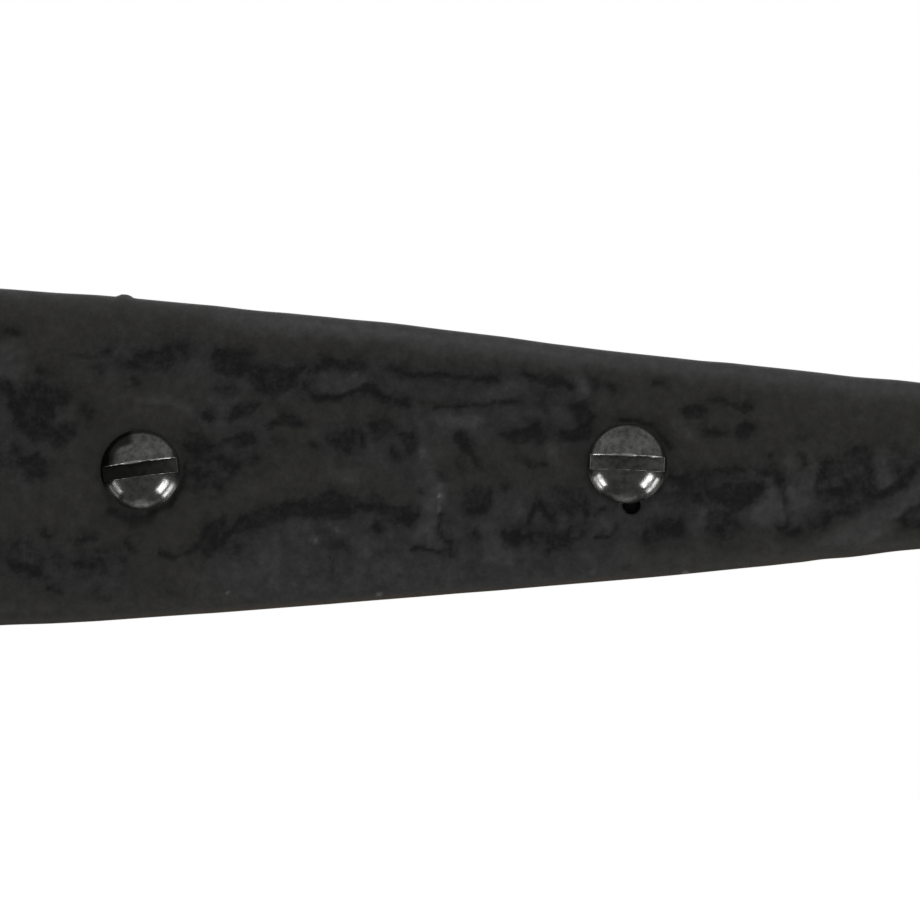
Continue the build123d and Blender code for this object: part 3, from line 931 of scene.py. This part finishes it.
def raise_burr(bm, seating, side, burr_radius, evenness, seed):
    """The bright burr that screwdrivers have raised along a lip of the slot. side is 1 above, -1 below."""
    lip = math.sqrt(HEAD_BALL**2 - (SLOT_WIDTH / 2) ** 2)
    reach = math.asin(0.93 * HEAD_RADIUS / lip)
    lift = Vector((0, HEAD_BALL - HEAD_HEIGHT, side * (SLOT_WIDTH / 2 + 0.2 * burr_radius)))
    rings = []
    for i in range(BURR_STEPS + 1):
        share = 2 * i / BURR_STEPS - 1
        uneven = evenness + 0.9 * noise.noise(Vector((reach * share * 9.0, seed * 400.0, 0.3)))
        radius = burr_radius * min(1.0, 4.0 * (1 - abs(share)) + 0.2) * max(uneven, 0.12)
        out = Vector((math.sin(reach * share), -math.cos(reach * share), 0.0))
        ring = []
        for k in range(BURR_SIDES):
            b = 2 * math.pi * k / BURR_SIDES
            off = (out * math.cos(b) + Vector((0, 0, math.sin(b)))) * radius
            ring.append(bm.verts.new(seating @ (out * lip + lift + off)))
        rings.append(ring)
    for lower, upper in zip(rings, rings[1:]):
        for k in range(BURR_SIDES):
            after = (k + 1) % BURR_SIDES
            face = bm.faces.new((lower[k], lower[after], upper[after], upper[k]))
            face.material_index = LIP_STEEL
            face.smooth = True
    for ring in (rings[0], rings[-1]):
        bm.faces.new(ring).material_index = LIP_STEEL


def round_ends(bm, seating):
    """The rubbed edges where the floor of the slot runs out at the rim of the head."""
    end = math.sqrt(HEAD_BALL**2 - (HEAD_BALL - SLOT_DEPTH) ** 2)
    for x in (-end, end):
        bar = bmesh.ops.create_cone(
            bm,
            cap_ends=True,
            segments=BURR_SIDES,
            radius1=END_BURR_RADIUS,
            radius2=END_BURR_RADIUS,
            depth=SLOT_WIDTH,
            matrix=seating @ Matrix.Translation((x, SLOT_DEPTH - HEAD_HEIGHT, 0)),
        )
        for v in bar["verts"]:
            for face in v.link_faces:
                face.material_index = LIP_STEEL


def darken_rim_and_slot(bm, seating, direction, share):
    """Marks one side of the head's rim, and the floor of its slot, to be darkened nearly to black."""
    # The share of near-black darkening at each point, on one side of the rim and on the slot's floor.
    paint = bm.verts.layers.float.new("paint")
    to_head = seating.inverted()
    side = Vector((math.cos(math.radians(direction)), 0, math.sin(math.radians(direction))))
    for v in bm.verts:
        off = v.co - seating.translation
        off.y = 0.0
        if v.co.y > LEAF_FRONT + 0.01 * MM or off.length < 0.1 * MM:
            continue
        ragged = 0.1 * noise.noise(v.co * 900.0)
        out = smoothstep(*DARK_REACH, off.length / HEAD_RADIUS + ragged)
        facing = smoothstep(*DARK_FACING, off.normalized().dot(side) + ragged)
        v[paint] = share * out * facing
        on_head = to_head @ v.co
        if abs(on_head.z) < SLOT_WIDTH and abs(on_head.y + HEAD_HEIGHT - SLOT_DEPTH) < 0.1 * MM:
            v[paint] = max(v[paint], 0.6 * share)


def wood_screw(name, place, slot_angle, dark_side, body, node):
    """One screw, turned, threaded, slotted and seated on its leaf."""
    bm = turned([(r, -y, 0.0) for r, y in screw_section()], (0, 1, 0), HEAD_STEPS)
    cut_thread(bm)
    bmesh.ops.recalc_face_normals(bm, faces=bm.faces[:])
    seat = Matrix.Translation((place[0], LEAF_FRONT, place[1]))
    bmesh.ops.transform(bm, matrix=seat, verts=bm.verts[:])
    screw = add_piece(name, bm)
    seating = seat @ Matrix.Rotation(math.radians(-slot_angle), 4, "Y")

    saw = bmesh.new()
    bmesh.ops.create_cube(saw, size=1.0)
    size = Matrix.Diagonal((3 * HEAD_RADIUS, 2 * SLOT_DEPTH, SLOT_WIDTH, 1.0))
    stroke = seating @ Matrix.Translation((0, -HEAD_HEIGHT, 0)) @ size
    bmesh.ops.transform(saw, matrix=stroke, verts=saw.verts[:])
    for face in saw.faces:
        face.material_index = SLOT_STEEL
    blade = add_piece("slot_saw", saw)
    for steel in screw_steels:
        screw.data.materials.append(steel)
        blade.data.materials.append(steel)
    cut = screw.modifiers.new("slot", "BOOLEAN")
    cut.operation = "DIFFERENCE"
    cut.solver = "EXACT"
    cut.object = blade
    slotted = apply_modifiers(screw)
    bpy.data.objects.remove(blade)

    bm = bmesh.new()
    bm.from_mesh(slotted)
    raise_burr(bm, seating, 1, UPPER_BURR_RADIUS, evenness=0.7, seed=place[0])
    raise_burr(bm, seating, -1, LOWER_BURR_RADIUS, evenness=0.2, seed=place[0] + 0.01)
    round_ends(bm, seating)
    darken_rim_and_slot(bm, seating, *dark_side)
    bm.to_mesh(slotted)
    bm.free()
    slotted.shade_smooth()
    slotted.set_sharp_from_angle(angle=SCREW_SHARP_ANGLE)
    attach(screw, body)
    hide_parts(node)


for number, (spot, slot, darkened) in enumerate(zip(plate_places, PLATE_SLOTS, PLATE_DARK_SIDES), start=1):
    wood_screw(f"cross_plate_screw_{number}", spot, slot, darkened, "frame_leaf", "cross_plate_screws")
for number, (spot, slot, darkened) in enumerate(zip(strap_places, STRAP_SLOTS, STRAP_DARK_SIDES), start=1):
    wood_screw(f"strap_screw_{number}", spot, slot, darkened, "strap_leaf", "strap_screws")


# Studio
# A plain pale floor under the hinge, and white surroundings that reflect as a sky with a dark horizon. A
# wide and a narrow softbox stand on either side, with a thin strip of light below.

VIEW_X = pin_axis.x + 102.5 * MM
# Bands of the sky that reflections see, from straight down to straight up: height and strength.
SKY_LOWEST = (0.55, 0.55, 0.57, 1)
SKY_HIGHEST = (0.24, 0.24, 0.24, 1)
SKY_BANDS = (
    (0.012, 0.4), (0.035, 0.17), (0.12, 0.15), (0.38, 0.18), (0.5, 0.07), (0.62, 0.24), (0.8, 0.40),
    (0.94, 0.36),
)
FLOOR_GAP = 0.1 * MM
FLOOR_SIZE = 2.0
FLOOR_TONE = 0.8
FLOOR_GLOW = 0.4
FLOOR_FADE = (0.25, 0.9)
LAMP_DISTANCE = 0.8


def background(tree, tone, strength):
    """Even light from all round."""
    return add_node(tree, "Background", "Background", {"Color": (tone, tone, tone, 1), "Strength": strength})


def either(tree, share, first, second):
    """One shader where share is 0, and another where it is 1."""
    return add_node(tree, "MixShader", "Shader", {0: share, 1: first, 2: second})


world = bpy.data.worlds.new("studio")
bpy.context.scene.world = world
world.use_nodes = True
sky = world.node_tree
sky.nodes.remove(sky.nodes["Background"])
sky_way = sky.nodes.new("ShaderNodeSeparateXYZ")
sky.links.new(add_node(sky, "TexCoord", "Generated"), sky_way.inputs["Vector"])
behind = ranged(sky, sky_way.outputs["Y"], 0.0, 0.6, 0.0, 0.8, way="SMOOTHSTEP")
over_floor = ranged(sky, sky_way.outputs["Z"], -0.25, 0.15)
bands = sky.nodes.new("ShaderNodeValToRGB")
bands.color_ramp.elements[0].color = SKY_LOWEST
bands.color_ramp.elements[1].color = SKY_HIGHEST
for band_height, band_tone in SKY_BANDS:
    bands.color_ramp.elements.new(band_height).color = (band_tone, band_tone, band_tone, 1)
sky.links.new(ranged(sky, sky_way.outputs["Z"], -1.0, 1.0), bands.inputs["Fac"])
mirrored = arithmetic(sky, "ADD", arithmetic(sky, "MULTIPLY", behind, over_floor), bands.outputs["Color"])
daylight = ranged(sky, sky_way.outputs["Z"], -1.0, 1.0, 0.15, 1.45)
path = sky.nodes.new("ShaderNodeLightPath").outputs
in_mirror = arithmetic(sky, "MAXIMUM", path["Is Glossy Ray"], path["Is Transmission Ray"])
lighting = either(sky, in_mirror, background(sky, 0.8, daylight), background(sky, 1.0, mirrored))
surroundings = either(sky, path["Is Camera Ray"], lighting, background(sky, 1.0, 1.0))
sky.links.new(surroundings, sky.nodes["World Output"].inputs["Surface"])

floor_middle = Vector((VIEW_X, 0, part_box("cross_plate")[0].z - FLOOR_GAP))
floor_white = bpy.data.materials.new("floor_white")
floor_white.use_nodes = True
floor_tree = floor_white.node_tree
floor_tree.nodes.remove(floor_tree.nodes["Principled BSDF"])
matt = add_node(floor_tree, "BsdfDiffuse", "BSDF", {"Color": (FLOOR_TONE, FLOOR_TONE, FLOOR_TONE, 1)})
glow = arithmetic(floor_tree, "MULTIPLY", add_node(floor_tree, "LightPath", "Is Camera Ray"), FLOOR_GLOW)
lift = add_node(floor_tree, "Emission", "Emission", {"Strength": glow})
pale = add_node(floor_tree, "AddShader", "Shader", {0: matt, 1: lift})
floor_place = add_node(floor_tree, "TexCoord", "Object")
away = add_node(floor_tree, "VectorMath", "Value", {0: floor_place, 1: floor_middle}, operation="DISTANCE")
faded = ranged(floor_tree, away, *FLOOR_FADE, way="SMOOTHSTEP")
gone = arithmetic(floor_tree, "MAXIMUM", faded, add_node(floor_tree, "NewGeometry", "Backfacing"))
floor_surface = either(floor_tree, gone, pale, add_node(floor_tree, "BsdfTransparent", "BSDF"))
floor_tree.links.new(floor_surface, floor_tree.nodes["Material Output"].inputs["Surface"])
floor_sheet = bmesh.new()
bmesh.ops.create_grid(floor_sheet, x_segments=1, y_segments=1, size=FLOOR_SIZE)
bmesh.ops.translate(floor_sheet, vec=floor_middle, verts=floor_sheet.verts[:])
floor = add_piece("floor", floor_sheet)
floor.data.materials.append(floor_white)
floor.visible_shadow = False
floor.visible_diffuse = False
floor.visible_glossy = False
floor.visible_transmission = False


def softbox(name, direction, along, across, watts):
    """An area lamp facing the middle of the view, its long side square to the line of sight."""
    lamp = bpy.data.lights.new(name, "AREA")
    lamp.shape = "RECTANGLE"
    lamp.size = along
    lamp.size_y = across
    lamp.energy = watts
    way = Vector(direction).normalized()
    long_side = Vector((0, -1, 0)).cross(way).normalized()
    short_side = way.cross(long_side)
    box = bpy.data.objects.new(name, lamp)
    box.location = Vector((VIEW_X, 0, 0)) + way * LAMP_DISTANCE
    box.rotation_euler = Matrix((long_side, short_side, way)).transposed().to_euler()
    bpy.context.collection.objects.link(box)


softbox("softbox_left", (-0.80, -0.27, -0.54), 0.32, 0.14, 1.0)
softbox("softbox_left_edge", (-0.82, -0.04, -0.57), 0.32, 0.10, 0.4)
softbox("softbox_right", (0.72, -0.42, -0.55), 0.40, 0.20, 1.9)
softbox("softbox_right_edge", (0.80, -0.07, -0.60), 0.40, 0.12, 0.85)
softbox("softbox_low", (0.0, -0.06, -1.0), 1.1, 0.05, 0.045)


# Camera
# A long lens nearly square on to the strap, a little below it and turned a little, taking in the middle of
# the strap.

VIEW_Z = 0.18 * MM
VIEW_WIDTH = 92.0 * MM
CAMERA_LENS = 200.0
CAMERA_TILT = math.radians(-3.0)
CAMERA_ROLL = math.radians(0.66)
lens = bpy.data.cameras.new("camera")
lens.lens = CAMERA_LENS
camera = bpy.data.objects.new("camera", lens)
to_lens = Vector((0, -math.cos(CAMERA_TILT), math.sin(CAMERA_TILT)))
lens_distance = VIEW_WIDTH * CAMERA_LENS / lens.sensor_width
camera.location = Vector((VIEW_X, LEAF_FRONT, VIEW_Z)) + to_lens * lens_distance
upright = to_lens.to_track_quat("Z", "Y").to_matrix().to_4x4()
camera.rotation_euler = (Matrix.Rotation(CAMERA_ROLL, 4, to_lens) @ upright).to_euler()
bpy.context.collection.objects.link(camera)
bpy.context.scene.camera = camera
bpy.context.scene.view_settings.view_transform = "Standard"
